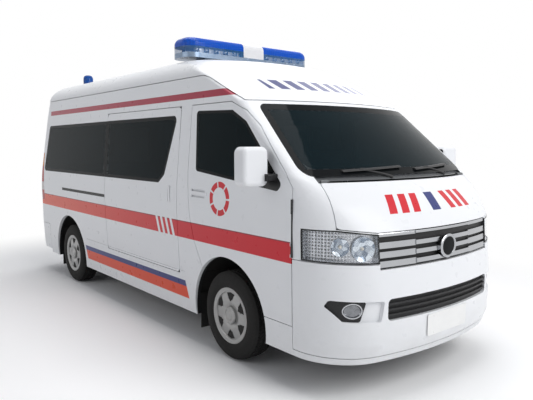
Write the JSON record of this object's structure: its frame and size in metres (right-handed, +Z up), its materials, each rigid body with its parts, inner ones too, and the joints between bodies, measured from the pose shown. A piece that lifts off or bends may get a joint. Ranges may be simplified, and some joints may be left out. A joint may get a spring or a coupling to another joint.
{
  "type": "ambulance van",
  "caption": "High-roof long-wheelbase ambulance van with roof light bar, sliding side door, opening front doors, bonnet and tailgate, and steered rolling wheels.",
  "frame": {"origin": "mid length and mid width of the vehicle, on the road", "axes": "+X forward, +Y to the driver's left side, +Z up"},
  "size_m": [5.3791, 2.324, 2.49],
  "materials": {
    "white_paint": "gloss white paint",
    "dark_glass": "dark tinted glass",
    "clear_lens": "clear lamp lens",
    "black_plastic": "black plastic",
    "chrome_trim": "chrome",
    "lamp_silver": "bright reflector",
    "red_lens": "red lens",
    "blue_lens": "blue lens",
    "white_plastic": "white plastic",
    "tyre_rubber": "black rubber",
    "flap_rubber": "black rubber",
    "wheel_silver": "silver wheel",
    "frame_steel": "black chassis paint",
    "cast_metal": "cast metal",
    "exhaust_steel": "dull steel",
    "floor_grey": "grey paint",
    "seat_cloth": "dark grey cloth",
    "bench_vinyl": "vinyl",
    "cabinet_wood": "wood finish",
    "dash_plastic": "dark grey plastic"
  },
  "bodies": {
    "body": {"roof_cap": "white_paint", "side_panel_left": "white_paint", "side_panel_right": "white_paint", "front_frame": "white_paint", "sliding_door": "white_paint", "side_glass": "dark_glass", "windscreen": "dark_glass", "front_bumper": "white_paint", "fog_lamps": "clear_lens", "headlamp_lenses": "clear_lens", "headlamp_bowls": "lamp_silver", "grille": "black_plastic", "grille_bars": "chrome_trim", "rear_bumper": "white_paint", "tail_lamps": "red_lens", "floor_pan": "floor_grey", "wheel_houses": "black_plastic", "chassis_frame": "frame_steel", "front_suspension": "frame_steel", "rear_axle": "frame_steel", "leaf_springs": "frame_steel", "engine_block": "cast_metal", "propshaft": "frame_steel", "fuel_tank": "frame_steel", "exhaust": "exhaust_steel", "spare_wheel": "tyre_rubber", "dashboard": "dash_plastic", "steering_wheel": "dash_plastic", "front_seats": "seat_cloth", "partition": "white_plastic", "bench": "bench_vinyl", "cabinet": "cabinet_wood", "stretcher": "exhaust_steel", "light_bar_base": "black_plastic", "light_bar_lenses": "blue_lens", "light_bar_centre": "white_plastic", "rear_beacons": "blue_lens", "mud_flaps": "flap_rubber", "slide_rail": "black_plastic", "wipers": "black_plastic"},
    "front_door_left": {"door_left": "white_paint", "door_glass_left": "dark_glass", "mirror_left": "white_paint"},
    "front_door_right": {"door_right": "white_paint", "door_glass_right": "dark_glass", "mirror_right": "white_paint"},
    "bonnet_lid": {"bonnet": "white_paint"},
    "tailgate_lid": {"tailgate": "white_paint", "tailgate_glass": "dark_glass"},
    "steering_knuckle_left": {"knuckle_left": "cast_metal"},
    "steering_knuckle_right": {"knuckle_right": "cast_metal"},
    "wheel_front_left": {"tyre_front_left": "tyre_rubber", "rim_front_left": "wheel_silver"},
    "wheel_front_right": {"tyre_front_right": "tyre_rubber", "rim_front_right": "wheel_silver"},
    "wheel_rear_left": {"tyre_rear_left": "tyre_rubber", "rim_rear_left": "wheel_silver"},
    "wheel_rear_right": {"tyre_rear_right": "tyre_rubber", "rim_rear_right": "wheel_silver"}
  },
  "joints": [
    {"name": "steer_left", "type": "hinge", "parent": "body", "child": "steering_knuckle_left", "pos_m": [1.445, 0.7, 0.328], "axis": [0, 0, 1], "range_deg": [-33, 33]},
    {"name": "steer_right", "type": "hinge", "parent": "body", "child": "steering_knuckle_right", "pos_m": [1.445, -0.7, 0.328], "axis": [0, 0, 1], "range_deg": [-33, 33]},
    {"name": "roll_front_left", "type": "hinge", "parent": "steering_knuckle_left", "child": "wheel_front_left", "pos_m": [1.445, 0.792, 0.328], "axis": [0, 1, 0], "continuous": true},
    {"name": "roll_front_right", "type": "hinge", "parent": "steering_knuckle_right", "child": "wheel_front_right", "pos_m": [1.445, -0.792, 0.328], "axis": [0, 1, 0], "continuous": true},
    {"name": "roll_rear_left", "type": "hinge", "parent": "body", "child": "wheel_rear_left", "pos_m": [-1.665, 0.792, 0.328], "axis": [0, 1, 0], "continuous": true},
    {"name": "roll_rear_right", "type": "hinge", "parent": "body", "child": "wheel_rear_right", "pos_m": [-1.665, -0.792, 0.328], "axis": [0, 1, 0], "continuous": true},
    {"name": "swing_door_left", "type": "hinge", "parent": "body", "child": "front_door_left", "pos_m": [2.184, 0.941, 1.05], "axis": [0, 0, -1], "range_deg": [0, 65]},
    {"name": "swing_door_right", "type": "hinge", "parent": "body", "child": "front_door_right", "pos_m": [2.184, -0.941, 1.05], "axis": [0, 0, 1], "range_deg": [0, 65]},
    {"name": "lift_bonnet", "type": "hinge", "parent": "body", "child": "bonnet_lid", "pos_m": [2.276, 0, 1.351], "axis": [0, -1, 0], "range_deg": [0, 48]},
    {"name": "lift_tailgate", "type": "hinge", "parent": "body", "child": "tailgate_lid", "pos_m": [-2.491, 0, 2.063], "axis": [0, 1, 0], "range_deg": [0, 88]}
  ],
  "couplings": [
    {"joint": "steer_right", "follows": "steer_left", "ratio": 1}
  ]
}
